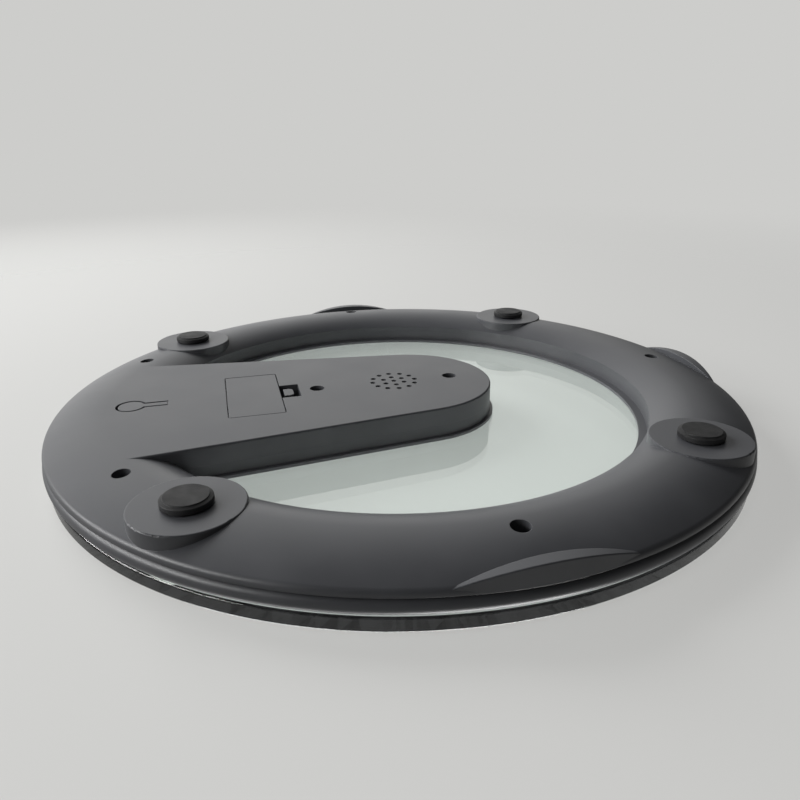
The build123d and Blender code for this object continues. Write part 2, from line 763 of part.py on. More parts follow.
# Unit button and its switch
button = keyhole(button_head_diameter, button_arm_width, button_root_y + button_root_gap, crown_z, floor_z)
post_top = switch_z - plunger_height - plunger_clearance
parts["unit_button"] = button + disc(button_post_diameter, floor_z, post_top, (0, button_head_y))
switch_half = switch_side / 2
switch_y = (button_head_y - switch_half, button_head_y + switch_half)
switch_body = block((-switch_half, switch_half), switch_y, (switch_z, board_z))
switch_bore_top = board_z - switch_roof
switch_bore = disc(plunger_diameter + 2 * plunger_bore, switch_z, switch_bore_top, (0, button_head_y))
parts["unit_switch_body"] = switch_body - switch_bore
plunger_z = switch_z - plunger_height
plunger_top = switch_bore_top - button_throw - plunger_clearance
parts["unit_switch_plunger"] = disc(plunger_diameter, plunger_z, plunger_top, (0, button_head_y))

# Board and display
board = block((-board_x, board_x), board_y, (board_z, board_top_z))
board_hole = board_screw_diameter + screw_clearance
board_holes = [disc(board_hole, board_z, board_top_z, place) for place in board_boss_places()]
parts["main_board"] = board - board_holes
parts["board_screws"] = [
    disc(board_screw_head_diameter, board_z - board_screw_head_height, board_z, place)
    + disc(board_screw_diameter, board_z, board_z + board_screw_length, place)
    for place in board_boss_places()
]
chip_y = display_y - chip_drop
blob = disc(blob_diameter, board_z - blob_height, board_z, (chip_x["controller_chip"], chip_y))
parts["controller_chip"] = fillet(blob.edges().sort_by(Axis.Z)[0], blob_round)
package = Box(*package_size, align=(Align.CENTER, Align.CENTER, Align.MAX))
parts["speech_chip"] = Pos(chip_x["speech_chip"], chip_y, board_z) * package
lcd_x = lcd_length / 2
lcd_y = lcd_width / 2
parts["lcd_panel"] = block((-lcd_x, lcd_x), (display_y - lcd_y, display_y + lcd_y), (lcd_z, lcd_top_z))
inner_x = frame_half_length - frame_wall
inner_y = frame_half_width - frame_wall
outer_x = frame_half_length
outer_y = frame_half_width
frame_z = (board_top_z, ceiling_z)
display_frame = block((-outer_x, outer_x), (display_y - outer_y, display_y + outer_y), frame_z)
display_frame -= block((-inner_x, inner_x), (display_y - inner_y, display_y + inner_y), frame_z)
parts["display_frame"] = display_frame
reflector_x = lcd_x - frame_wall
reflector_y = lcd_y - zebra_width - lcd_clearance
reflector_z = (lcd_z - reflector_thickness, lcd_z)
parts["display_reflector"] = block(
    (-reflector_x, reflector_x), (display_y - reflector_y, display_y + reflector_y), reflector_z
)
for strip_name, strip_side in (("zebra_strip_heel", -1), ("zebra_strip_toe", 1)):
    strip_y = sorted((display_y + strip_side * lcd_y, display_y + strip_side * (lcd_y - zebra_width)))
    parts[strip_name] = block((-reflector_x, reflector_x), strip_y, (board_top_z, lcd_z))
lens_x = window_length / 2 + lens_ledge - lens_clearance
lens_y = window_width / 2 + lens_ledge - lens_clearance
lens_z = (deck_z - lens_thickness, deck_z)
parts["display_window"] = block((-lens_x, lens_x), (display_y - lens_y, display_y + lens_y), lens_z)

# Speaker
speaker_z = floor_z + gasket_thickness
back_z = speaker_z + speaker_depth
speaker_r = speaker_diameter / 2
throat_r = speaker_r - speaker_flange
plate_r = speaker_plate_diameter / 2
basket = spun_polygon(
    (throat_r, speaker_z),
    (speaker_r, speaker_z),
    (speaker_r, speaker_z + speaker_flange_thickness),
    (throat_r + speaker_sheet, speaker_z + speaker_flange_thickness),
    (plate_r, back_z),
    (0, back_z),
    (0, back_z - speaker_sheet),
    (plate_r - speaker_sheet / 2, back_z - speaker_sheet),
    (throat_r, speaker_z + speaker_flange_thickness),
)
terminal = Box(*terminal_size, align=(Align.CENTER, Align.CENTER, Align.MIN))
terminal_y = magnet_diameter / 2 + terminal_size[1] / 2
basket += Pos(0, terminal_y, back_z - speaker_sheet) * terminal
cone = spun_polygon(
    (0, speaker_z + cone_depth),
    (dust_cap_diameter / 2, speaker_z + cone_depth),
    (throat_r, speaker_z),
    (throat_r, speaker_z + cone_thickness),
    (dust_cap_diameter / 2, speaker_z + cone_depth + cone_thickness),
    (0, speaker_z + cone_depth + cone_thickness),
)
at_speaker = Pos(0, speaker_y, 0)
parts["speaker_frame"] = at_speaker * basket
parts["speaker_cone"] = at_speaker * cone
parts["speaker_magnet"] = disc(magnet_diameter, back_z, back_z + magnet_height, (0, speaker_y))
parts["speaker_gasket"] = at_speaker * washer(throat_r, speaker_r, floor_z, speaker_z)
lead_z = back_z - speaker_sheet + terminal_size[2] / 2
lead_start = (terminal_size[0] / 2, speaker_y + terminal_y)
speaker_route = [(lead_start[0] + run, lead_start[1], lead_z) for run in (0, lead_exit_run)]
speaker_route += [(x, y, board_mid_z) for x, y in speaker_lead_stops]
speaker_route += [(speaker_lead_stops[-2][0], board_y[0] - run, board_mid_z) for run in (lead_exit_run, 0)]
parts["speaker_lead"] = lead(thin_lead_diameter, speaker_route)

os.makedirs("parts", exist_ok=True)
for name, shape in parts.items():
    solid = Compound(children=[Part() + piece for piece in shape]) if isinstance(shape, list) else shape
    export_step(solid, f"parts/{name}.step")
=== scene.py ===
import json
from math import pi, radians, sqrt

import bpy
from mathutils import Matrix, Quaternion, Vector

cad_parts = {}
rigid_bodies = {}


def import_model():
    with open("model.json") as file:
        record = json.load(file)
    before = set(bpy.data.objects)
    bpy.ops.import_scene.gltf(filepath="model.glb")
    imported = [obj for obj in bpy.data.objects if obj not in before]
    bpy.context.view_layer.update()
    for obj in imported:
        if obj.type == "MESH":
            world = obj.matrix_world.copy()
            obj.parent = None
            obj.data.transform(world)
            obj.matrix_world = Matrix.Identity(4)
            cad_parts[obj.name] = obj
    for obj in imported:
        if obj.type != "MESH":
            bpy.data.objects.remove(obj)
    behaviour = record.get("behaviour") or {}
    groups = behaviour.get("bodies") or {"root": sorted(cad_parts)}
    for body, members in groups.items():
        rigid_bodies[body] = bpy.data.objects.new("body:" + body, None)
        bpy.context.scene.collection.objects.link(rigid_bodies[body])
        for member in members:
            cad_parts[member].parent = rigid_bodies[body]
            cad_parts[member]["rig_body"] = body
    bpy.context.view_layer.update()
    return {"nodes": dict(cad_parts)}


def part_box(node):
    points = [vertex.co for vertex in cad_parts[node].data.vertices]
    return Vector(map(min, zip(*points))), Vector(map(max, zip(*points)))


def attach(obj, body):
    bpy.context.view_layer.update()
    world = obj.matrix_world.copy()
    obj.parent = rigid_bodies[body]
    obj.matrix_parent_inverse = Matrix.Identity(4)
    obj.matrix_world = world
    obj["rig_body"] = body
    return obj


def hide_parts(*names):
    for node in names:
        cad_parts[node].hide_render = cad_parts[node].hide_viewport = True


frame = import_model()

# Bottom shell
# One injection moulding of dark grey ABS: a domed ring with a tongue, foot pods, grip lips, screw wells
# and the battery bay. It is the lower half of the housing, and takes in or carries all other pieces.

# The sizes of the scale's pieces are in millimetres, and MM turns them to metres.
MM = 0.001
crown_height = 4.0
crown_radius = 141.0
ring_inner_radius = 122.5
seam_radius = 167.2
inner_drop = 6.1
outer_drop = 6.3
rim_edge = 2.6
dome_cuts = 3
rim_cuts = 1
arc_tolerance = 0.02
arc_turn = radians(60)
facet_margin = 0.3
merge_distance = 0.0005
smooth_turn = radians(28)
flat_weight = 100
cloud_band = (0.35, 0.65)
cloud_detail = 3.0
grain_detail = 2.0
edge_samples = 6


def linear(hex_colour):
    """Linear RGBA of an sRGB colour such as 4a4b4d."""
    shares = [int(hex_colour[i:i + 2], 16) / 255 for i in (0, 2, 4)]
    return [s / 12.92 if s <= 0.04045 else ((s + 0.055) / 1.055) ** 2.4 for s in shares] + [1.0]


def add_node(material, kind, links=None, values=None, **settings):
    """New node of a material with its settings, its constant values and its links from other nodes."""
    made = material.node_tree.nodes.new("ShaderNode" + kind)
    for setting, value in settings.items():
        setattr(made, setting, value)
    for socket, value in (values or {}).items():
        made.inputs[socket].default_value = value
    for socket, (source, output) in (links or {}).items():
        material.node_tree.links.new(source.outputs[output], made.inputs[socket])
    return made


def new_material(name, **values):
    """New material and its shader, with the values that are the same all over the surface."""
    material = bpy.data.materials.new(name)
    material.use_nodes = True
    shader = material.node_tree.nodes["Principled BSDF"]
    for socket, value in values.items():
        shader.inputs[socket.replace("_", " ")].default_value = value
    return material, shader


def surface(material, shader, colours, roughness, cloud, grain, depth, edge=0):
    """Gives a shader a soft cloud between two roughnesses and two colours, if there are any, and a
    raised grain of a depth. With an edge, edges catch the light as if they were rounded by that much.
    All four are sizes in millimetres."""
    join = material.node_tree.links.new
    place = add_node(material, "TexCoord")
    on_piece = {"Vector": (place, "Object")}
    cloud_values = {"Scale": 1 / (cloud * MM), "Detail": cloud_detail}
    cloud_noise = add_node(material, "TexNoise", on_piece, cloud_values)
    if colours:
        ramp = add_node(material, "ValToRGB", {"Fac": (cloud_noise, "Fac")})
        for element, position, colour in zip(ramp.color_ramp.elements, cloud_band, colours):
            element.position = position
            element.color = linear(colour)
        join(ramp.outputs["Color"], shader.inputs["Base Color"])
    gloss_range = dict(zip(("From Min", "From Max", "To Min", "To Max"), cloud_band + roughness))
    gloss = add_node(material, "MapRange", {"Value": (cloud_noise, "Fac")}, gloss_range)
    join(gloss.outputs["Result"], shader.inputs["Roughness"])
    grain_values = {"Scale": 1 / (grain * MM), "Detail": grain_detail}
    grain_noise = add_node(material, "TexNoise", on_piece, grain_values)
    bump = add_node(material, "Bump", {"Height": (grain_noise, "Fac")}, {"Distance": depth * MM})
    if edge:
        soft_edge = add_node(material, "Bevel", values={"Radius": edge * MM}, samples=edge_samples)
        join(soft_edge.outputs["Normal"], bump.inputs["Normal"])
    join(bump.outputs["Normal"], shader.inputs["Normal"])


# Moulded ABS: satin, slightly uneven in gloss, with the fine grain of a spark-eroded mould.
# The real grain of 0.1 mm is too fine to show, so it is drawn four times as coarse.
moulded_abs, shader = new_material("moulded_abs", IOR=1.53)
surface(moulded_abs, shader, ("424346", "48494c"), (0.36, 0.43),
        cloud=30.0, grain=0.4, depth=0.012, edge=0.3)


def select_only(piece):
    """Makes one object the selected and active one."""
    bpy.ops.object.select_all(action="DESELECT")
    piece.select_set(True)
    bpy.context.view_layer.objects.active = piece


def dress(piece, node, material):
    """Puts a material on a piece, which rides with a CAD node and stands for it in its place, with the
    node hidden.
    """
    piece.data.materials.clear()
    piece.data.materials.append(material)
    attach(piece, frame["nodes"][node]["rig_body"])
    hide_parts(node)


def merged_copy(node, name, material):
    """Copy of a CAD node with its triangles merged. It stands for the node."""
    piece = bpy.data.objects.new(name, frame["nodes"][node].data.copy())
    bpy.context.scene.collection.objects.link(piece)
    select_only(piece)
    bpy.ops.mesh.customdata_custom_splitnormals_clear()
    bpy.ops.object.mode_set(mode="EDIT")
    bpy.ops.mesh.select_all(action="SELECT")
    bpy.ops.mesh.remove_doubles(threshold=merge_distance * MM)
    bpy.ops.object.mode_set(mode="OBJECT")
    dress(piece, node, material)
    return piece


def finish_shading(piece):
    """Smooth shading that stops at edges, with flat faces left flat beside their rounded edges."""
    select_only(piece)
    bpy.ops.object.shade_smooth_by_angle(angle=smooth_turn)
    weighted = piece.modifiers.new("flat_faces", "WEIGHTED_NORMAL")
    weighted.keep_sharp = True
    weighted.weight = flat_weight
    bpy.ops.object.modifier_apply(modifier=weighted.name)


def from_arc(point, center):
    """Way from the centre of an arc turned about the Z axis to a point of it, in millimetres."""
    place = point / MM
    radius = place.xy.length
    outwards = place.xy * (1 - center[0] / radius)
    return Vector((outwards.x, outwards.y, place.z - center[1]))


def on_arc(mesh, polygon, center, arc_radius, reach, top):
    """True for a face of an arc turned about the Z axis, with all its corners on the arc. The centre
    is a radius and a height, and the arc lies between the radii of reach and under top."""
    if polygon.center.z / MM > top or not reach[0] < polygon.center.xy.length / MM < reach[1]:
        return False
    ways = [from_arc(mesh.vertices[i].co, center) for i in polygon.vertices]
    close = all(abs(way.length - arc_radius) < arc_tolerance for way in ways)
    return close and polygon.normal.angle(from_arc(polygon.center, center), pi) < arc_turn


def round_arc(piece, center, arc_radius, reach, top, cuts):
    """Cuts the facets of an arc turned about the Z axis finer, and moves the new points to the arc."""
    mesh = piece.data
    for part_of_mesh in (mesh.vertices, mesh.edges, mesh.polygons):
        part_of_mesh.foreach_set("select", [False] * len(part_of_mesh))
    for polygon in mesh.polygons:
        polygon.select = on_arc(mesh, polygon, center, arc_radius, reach, top)
    select_only(piece)
    bpy.ops.object.mode_set(mode="EDIT")
    bpy.ops.mesh.select_mode(type="FACE")
    bpy.ops.mesh.subdivide(number_cuts=cuts)
    bpy.ops.object.mode_set(mode="OBJECT")
    for i in {i for polygon in mesh.polygons if polygon.select for i in polygon.vertices}:
        point = mesh.vertices[i].co
        way = from_arc(point, center)
        mesh.vertices[i].co = point + way * (arc_radius / way.length - 1) * MM


def shade_arcs(piece, arcs):
    """Gives the faces on arcs turned about the Z axis the normals of the true arcs."""
    mesh = piece.data
    normals = [corner.vector.copy() for corner in mesh.corner_normals]
    for polygon in mesh.polygons:
        for arc in arcs:
            if on_arc(mesh, polygon, *arc):
                for i in polygon.loop_indices:
                    point = mesh.vertices[mesh.loops[i].vertex_index].co
                    normals[i] = from_arc(point, arc[0]).normalized()
    mesh.normals_split_custom_set(normals)


def dome_radius(reach, drop):
    """Radius of an arc that starts level, as the ring's skin does at its crown, and then drops."""
    return (reach**2 + drop**2) / (2 * drop)


bottom_shell = merged_copy("bottom_shell", "bottom_shell_moulding", moulded_abs)
inner_dome = dome_radius(crown_radius - ring_inner_radius, inner_drop)
outer_dome = dome_radius(seam_radius - crown_radius, outer_drop)
rim_center_radius = seam_radius - rim_edge
rim_rise = sqrt((outer_dome - rim_edge) ** 2 - (rim_center_radius - crown_radius) ** 2)
rim_center_height = crown_height + outer_dome - rim_rise
rim_start = crown_radius + (rim_center_radius - crown_radius) * outer_dome / (outer_dome - rim_edge)
inner_reach = (ring_inner_radius - facet_margin, crown_radius)
outer_reach = (crown_radius - facet_margin, rim_start)
rim_reach = (rim_start - facet_margin, seam_radius)
inner_center = (crown_radius, crown_height + inner_dome)
outer_center = (crown_radius, crown_height + outer_dome)
rim_center = (rim_center_radius, rim_center_height)
ring_arcs = (
    (inner_center, inner_dome, inner_reach, rim_center_height),
    (outer_center, outer_dome, outer_reach, rim_center_height),
    (rim_center, rim_edge, rim_reach, rim_center_height),
)
for arc, cuts in zip(ring_arcs, (dome_cuts, dome_cuts, rim_cuts)):
    round_arc(bottom_shell, *arc, cuts)
finish_shading(bottom_shell)
shade_arcs(bottom_shell, ring_arcs)

# Feet
# Four black rubber pads, moulded in two tiers with a sloping ledge, each pressed on the disc of an
# acetal cup whose neck goes through its pod. Pad and cup slide up together against a load cell.
corners = ("toe_right", "toe_left", "heel_left", "heel_right")
pad_edge = 0.2
pad_steps = 96
pad_radius = 9.45
tread_radius = 8.1
tread_height = 0.45
ledge_height = 0.95
cup_radius = 7.1
pad_height = 3.0
pad_floor = 1.8
edge_turn = radians(30)

# Moulded rubber: matt and almost black, a little dusty, with a fine skin.
moulded_rubber, shader = new_material("moulded_rubber", IOR=1.52)
surface(moulded_rubber, shader, ("161617", "202021"), (0.50, 0.66), cloud=6.0, grain=0.5, depth=0.03)
# Turned acetal: black and waxy, smoother than the rubber.
black_acetal, shader = new_material("black_acetal", IOR=1.48)
surface(black_acetal, shader, ("1a1a1b", "202022"), (0.34, 0.42), cloud=12.0, grain=0.4, depth=0.006)


def round_edges(piece, edge_mm, edge_steps=3):
    """Rounds the sharp edges of a piece and smooths its round faces."""
    select_only(piece)
    rounding = piece.modifiers.new("edges", "BEVEL")
    rounding.width = edge_mm * MM
    rounding.segments = edge_steps
    rounding.limit_method = "ANGLE"
    rounding.angle_limit = edge_turn
    bpy.ops.object.modifier_apply(modifier=rounding.name)
    finish_shading(piece)


def turned(name, section, steps, edge_mm, edge_steps=3):
    """Piece turned about the Z axis from a closed section of (radius, height) points in millimetres."""
    bpy.ops.object.select_all(action="DESELECT")
    bpy.ops.mesh.primitive_circle_add(vertices=len(section), radius=MM)
    piece = bpy.context.object
    piece.name = name
    for vertex, (radius, height) in zip(piece.data.vertices, section):
        vertex.co = (radius * MM, 0, height * MM)
    bpy.ops.object.mode_set(mode="EDIT")
    bpy.ops.mesh.select_all(action="SELECT")
    bpy.ops.mesh.spin(steps=steps, angle=2 * pi, center=(0, 0, 0), axis=(0, 0, 1))
    bpy.ops.mesh.select_all(action="SELECT")
    bpy.ops.mesh.remove_doubles(threshold=merge_distance * MM)
    bpy.ops.mesh.dissolve_degenerate(threshold=merge_distance * MM)
    bpy.ops.mesh.select_all(action="SELECT")
    bpy.ops.mesh.normals_make_consistent(inside=False)
    bpy.ops.object.mode_set(mode="OBJECT")
    round_edges(piece, edge_mm, edge_steps)
    return piece


def move_piece(piece, place, turn=(0, 0, 0)):
    """Turns and moves a piece, and keeps its object at the origin."""
    select_only(piece)
    piece.rotation_euler = turn
    piece.location = place
    bpy.ops.object.transform_apply(location=True, rotation=True, scale=True)


pad_section = (
    (0, 0),
    (tread_radius, 0),
    (tread_radius, tread_height),
    (pad_radius, ledge_height),
    (pad_radius, pad_height),
    (cup_radius, pad_height),
    (cup_radius, pad_floor),
    (0, pad_floor),
)
for corner in corners:
    low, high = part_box(f"foot_pad_{corner}")
    pad = turned(f"foot_pad_{corner}_rubber", pad_section, pad_steps, pad_edge)
    move_piece(pad, ((low.x + high.x) / 2, (low.y + high.y) / 2, low.z))
    dress(pad, f"foot_pad_{corner}", moulded_rubber)
    cup = merged_copy(f"foot_cup_{corner}", f"foot_cup_{corner}_turned", black_acetal)
    finish_shading(cup)

# Unit button
# A round key on a thin springy arm, moulded of the same ABS, that is welded into its keyhole slot at the
# arm's root. The post on its back presses the switch.
small_edge = 0.2
flat_turn = radians(1)


def flat_copy(node, name, material, edge_mm):
    """Copy of a CAD node with whole flat faces and rounded edges. It stands for the node."""
    piece = merged_copy(node, name, material)
    bpy.ops.object.mode_set(mode="EDIT")
    bpy.ops.mesh.select_all(action="SELECT")
    bpy.ops.mesh.dissolve_limited(angle_limit=flat_turn)
    bpy.ops.object.mode_set(mode="OBJECT")
    round_edges(piece, edge_mm, edge_steps=2)
    return piece


flat_copy("unit_button", "unit_button_moulding", moulded_abs, small_edge)

# Speaker
# A small flat loudspeaker that lies face down on a foam gasket behind the grille: a drawn steel frame, a
# pressed film cone and a round magnet, held down by a post of the top shell.

# Closed-cell foam: black and dull, with fine pores.
closed_cell_foam, shader = new_material("closed_cell_foam", IOR=1.45)
surface(closed_cell_foam, shader, ("18181a", "222224"), (0.75, 0.85), cloud=2.0, grain=0.5, depth=0.05)
# Pressed polyester film: dark, with the soft gloss of thin plastic.
polyester_film, shader = new_material("polyester_film", IOR=1.57)
surface(polyester_film, shader, ("1d1d1f", "272729"), (0.34, 0.46), cloud=6.0, grain=0.6, depth=0.01)
# Drawn steel with bright zinc: a grey metal with a faint spangle.
zinc_plated_steel, shader = new_material("zinc_plated_steel", Metallic=1.0)
surface(zinc_plated_steel, shader, ("9c9da0", "b3b4b5"), (0.26, 0.38), cloud=6.0, grain=0.4, depth=0.004)
# Ferrite with a thin nickel coat: darker and duller than the steel.
plated_ferrite, shader = new_material("plated_ferrite", Metallic=1.0)
surface(plated_ferrite, shader, ("6e7073", "808285"), (0.30, 0.42), cloud=6.0, grain=0.4, depth=0.006)


def finish_node(node, material):
    """Gives a CAD node that is shown as it is its material."""
    frame["nodes"][node].data.materials.clear()
    frame["nodes"][node].data.materials.append(material)


finish_node("speaker_gasket", closed_cell_foam)
finish_node("speaker_cone", polyester_film)
finish_node("speaker_frame", zinc_plated_steel)
finish_node("speaker_magnet", plated_ferrite)

# Load cells
# Four stamped plates of zinc-plated spring steel with a bending tongue, held at their rims between posts
# of the bottom shell and frames of the top shell. A foot cup pushes on each tongue.
for corner in corners:
    finish_node(f"load_cell_{corner}", zinc_plated_steel)

# Board, switch and chips
# A green laminate board that hangs on four screws under the deck. It carries the unit switch, the
# controller under a blob of epoxy and the speech chip in a moulded package.

# Solder mask on glass laminate: dark green and glossy, a little uneven over the copper.
solder_mask, shader = new_material("solder_mask", IOR=1.5)
surface(solder_mask, shader, ("1c4a2b", "235634"), (0.22, 0.32), cloud=6.0, grain=0.5, depth=0.008)
# Cast epoxy: black, between matt and gloss.
black_epoxy, shader = new_material("black_epoxy", IOR=1.55)
surface(black_epoxy, shader, ("131315", "1b1b1d"), (0.30, 0.45), cloud=3.0, grain=0.4, depth=0.006)
finish_node("main_board", solder_mask)
for node in ("controller_chip", "speech_chip"):
    finish_node(node, black_epoxy)
for node in ("unit_switch_body", "unit_switch_plunger"):
    finish_node(node, black_acetal)

# Display
# A liquid crystal cell in a white frame on the board, with a white reflector behind it and two strips of
# layered silicone that join its contacts to the board. Idle, its segments show only as a faint print.
segment_length = 7.2
segment_width = 1.8
segment_pitch = 8.0
segment_sunk = 0.01
segment_depth = 0.04
digit_places = (-21.0, -7.0, 7.0, 21.0)

# Injection-moulded polystyrene: white and evenly satin.
white_polystyrene, shader = new_material("white_polystyrene", IOR=1.59)
surface(white_polystyrene, shader, ("d6d6d2", "dededa"), (0.38, 0.46),
        cloud=12.0, grain=0.4, depth=0.005)
# Layered silicone: dark grey and dull, with hair-thin conducting layers.
layered_silicone, shader = new_material("layered_silicone", IOR=1.41)
surface(layered_silicone, shader, ("3c3c40", "505054"), (0.55, 0.65), cloud=3.0, grain=0.4, depth=0.01)
# Liquid crystal cell: two thin sheets of glass with a film behind them, a flat grey-green.
liquid_crystal_cell, shader = new_material("liquid_crystal_cell", IOR=1.52)
surface(liquid_crystal_cell, shader, ("8f9a8c", "97a294"), (0.10, 0.16),
        cloud=20.0, grain=0.5, depth=0.001)
# Idle segments: the same cell, a little darker.
idle_segment, shader = new_material("idle_segment", IOR=1.52)
surface(idle_segment, shader, ("5c655a", "626b60"), (0.12, 0.18), cloud=20.0, grain=0.5, depth=0.001)
for node in ("display_frame", "display_reflector"):
    finish_node(node, white_polystyrene)
for node in ("zebra_strip_heel", "zebra_strip_toe"):
    finish_node(node, layered_silicone)
finish_node("lcd_panel", liquid_crystal_cell)

half_length = segment_length / 2
half_width = segment_width / 2
segment_outline = (
    (-half_length, 0),
    (half_width - half_length, -half_width),
    (half_length - half_width, -half_width),
    (half_length, 0),
    (half_length - half_width, half_width),
    (half_width - half_length, half_width),
)
bpy.ops.object.select_all(action="DESELECT")
bpy.ops.mesh.primitive_circle_add(vertices=len(segment_outline), radius=MM, fill_type="NGON")
segment = bpy.context.object
for vertex, (x, y) in zip(segment.data.vertices, segment_outline):
    vertex.co = (x * MM, y * MM, 0)
bpy.ops.object.mode_set(mode="EDIT")
bpy.ops.mesh.select_all(action="SELECT")
bpy.ops.mesh.extrude_region_move(TRANSFORM_OT_translate={"value": (0, 0, segment_depth * MM)})
bpy.ops.mesh.select_all(action="SELECT")
bpy.ops.mesh.normals_make_consistent(inside=False)
bpy.ops.object.mode_set(mode="OBJECT")

half_pitch = segment_pitch / 2
segment_spots = [(0, y, 0) for y in (-segment_pitch, 0, segment_pitch)]
segment_spots += [(x, y, pi / 2) for x in (-half_pitch, half_pitch) for y in (-half_pitch, half_pitch)]
low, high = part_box("lcd_panel")
panel_middle = (low + high) / 2
copies = []
for digit_x in digit_places:
    for x, y, turn in segment_spots:
        copy = bpy.data.objects.new("lcd_segments", segment.data.copy())
        bpy.context.scene.collection.objects.link(copy)
        middle_x = panel_middle.x + (digit_x + x) * MM
        middle_y = panel_middle.y + y * MM
        move_piece(copy, (middle_x, middle_y, high.z - segment_sunk * MM), (0, 0, turn))
        copies.append(copy)
bpy.data.objects.remove(segment)
for copy in copies:
    copy.select_set(True)
bpy.ops.object.join()
lcd_segments = bpy.context.object
lcd_segments.name = "lcd_segments"
lcd_segments.data.materials.append(idle_segment)
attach(lcd_segments, frame["nodes"]["lcd_panel"]["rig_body"])

# Battery contacts
# Three contacts of nickel-plated spring steel, pushed into slots at the ends of the battery bay: two
# with a bowed leaf for the flat end of a cell, and solder tabs for the leads.

# Nickel plate: warm, bright and smooth.
nickel_plate, shader = new_material("nickel_plate", Metallic=1.0)
surface(nickel_plate, shader, ("b8b4aa", "cbc7bd"), (0.16, 0.26), cloud=5.0, grain=0.4, depth=0.003)
for node in ("link_contact", "negative_contact", "positive_contact"):
    finish_node(node, nickel_plate)

# Leads
# Stranded copper leads in soft vinyl from the load cells, the battery contacts and the speaker to the
# board, soldered at both ends and laid round the housing's channel.

# Soft vinyl: extruded, dark and slightly waxy.
soft_vinyl, shader = new_material("soft_vinyl", IOR=1.53)
surface(soft_vinyl, shader, ("1c1c1e", "26262a"), (0.42, 0.52), cloud=7.0, grain=0.4, depth=0.006)
lead_nodes = [f"cell_lead_{corner}" for corner in corners]
lead_nodes += ["negative_lead", "positive_lead", "speaker_lead"]
for node in lead_nodes:
    finish_node(node, soft_vinyl)

# Top shell
# The second half of the housing, of the same ABS, with a rounded band at its rim and a flat deck under
# the glass. Seven screws from below hold it on the bottom shell.
band_edge_radius = 165.6
band_radius = 167.8
band_low = 13.0
band_high = 19.5
band_cuts = 2
band_rise = (band_high - band_low) / 2
band_arc = dome_radius(band_rise, band_radius - band_edge_radius)
top_shell = merged_copy("top_shell", "top_shell_moulding", moulded_abs)
band_center = (band_radius - band_arc, band_low + band_rise)
band_reach = (band_edge_radius - facet_margin, band_radius)
rim_band = (band_center, band_arc, band_reach, band_high)
round_arc(top_shell, *rim_band, band_cuts)
finish_shading(top_shell)
shade_arcs(top_shell, [rim_band])

# Screws
# Seven pan-head screws with a cross drive at the bottom of the wells, and four smaller ones that hold
# the board. All are blackened steel.

# Blackened steel: almost black, with a dull metal gloss.
blackened_steel, shader = new_material("blackened_steel", Metallic=1.0)
surface(blackened_steel, shader, ("17171a", "242427"), (0.34, 0.48), cloud=4.0, grain=0.4, depth=0.006)
for node in ("housing_screws", "board_screws"):
    finish_node(node, blackened_steel)

# Batteries
# Two AAA cells side by side, in a plain printed film that is shrunk over the steel can and curls round
# both of its ends.
can_rim = 4.3
can_sunk = 0.25
nub_radius = 1.9
nub_length = 1.2
battery_edge = 0.15
battery_steps = 64
band_share = 0.74
film_colours = ("33353a", "9a9da2")


def shrunk_film(name, flat_end, nub_end):
    """Printed film on a cell between two places along X: dark, with a pale band at the nub's end."""
    material, shader = new_material(name, IOR=1.5)
    surface(material, shader, None, (0.24, 0.34), cloud=9.0, grain=0.5, depth=0.004)
    place = add_node(material, "TexCoord")
    axes = add_node(material, "SeparateXYZ", {"Vector": (place, "Object")})
    ends = {"From Min": flat_end, "From Max": nub_end}
    along = add_node(material, "MapRange", {"Value": (axes, "X")}, ends)
    sleeve = add_node(material, "ValToRGB", {"Fac": (along, "Result")})
    sleeve.color_ramp.interpolation = "CONSTANT"
    for element, position, colour in zip(sleeve.color_ramp.elements, (0, band_share), film_colours):
        element.position = position
        element.color = linear(colour)
    material.node_tree.links.new(sleeve.outputs["Color"], shader.inputs["Base Color"])
    return material


for node, side in (("battery_heel", 1), ("battery_toe", -1)):
    low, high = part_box(node)
    cell_radius = (high.z - low.z) / 2 / MM
    cell_length = (high.x - low.x) / MM
    can_length = cell_length - nub_length
    cell_section = (
        (0, can_sunk),
        (can_rim - can_sunk, can_sunk),
        (can_rim, 0),
        (cell_radius, 0),
        (cell_radius, can_length),
        (can_rim, can_length),
        (can_rim - can_sunk, can_length - can_sunk),
        (nub_radius, can_length - can_sunk),
        (nub_radius, cell_length),
        (0, cell_length),
    )
    flat_end, nub_end = (low.x, high.x) if side > 0 else (high.x, low.x)
    axis_y = (low.y + high.y) / 2
    axis_z = (low.z + high.z) / 2
    cell = turned(f"{node}_cell", cell_section, battery_steps, battery_edge, edge_steps=2)
    move_piece(cell, (flat_end, axis_y, axis_z), (0, side * pi / 2, 0))
    dress(cell, node, shrunk_film(f"{node}_film", flat_end, nub_end))
    cell.data.materials.append(nickel_plate)
    for polygon in cell.data.polygons:
        off_axis = sqrt((polygon.center.y - axis_y) ** 2 + (polygon.center.z - axis_z) ** 2)
        polygon.material_index = int(off_axis < can_rim * MM)

# Battery door
# A flat moulding of the same ABS. Two hooks on one edge go into the shell, and a folded snap tab with a
# finger pad holds the other edge.
flat_copy("battery_door", "battery_door_moulding", moulded_abs, small_edge)

# Display window
# A clear acrylic sheet that lies in a rebate of the deck, over the liquid crystal cell.

# Cast acrylic: clear and glossy. It casts no shadow, so that light reaches the cell below it.
clear_acrylic, shader = new_material("clear_acrylic", IOR=1.49, Roughness=0.02, Transmission_Weight=1.0)
shader.inputs["Base Color"].default_value = linear("f1f3f2")
finish_node("display_window", clear_acrylic)
frame["nodes"]["display_window"].visible_shadow = False

# Bonding tape and glass supports
# A ring and a disc of black foam tape that bond the glass to the deck, and four milky silicone discs
# that carry it near its rim.

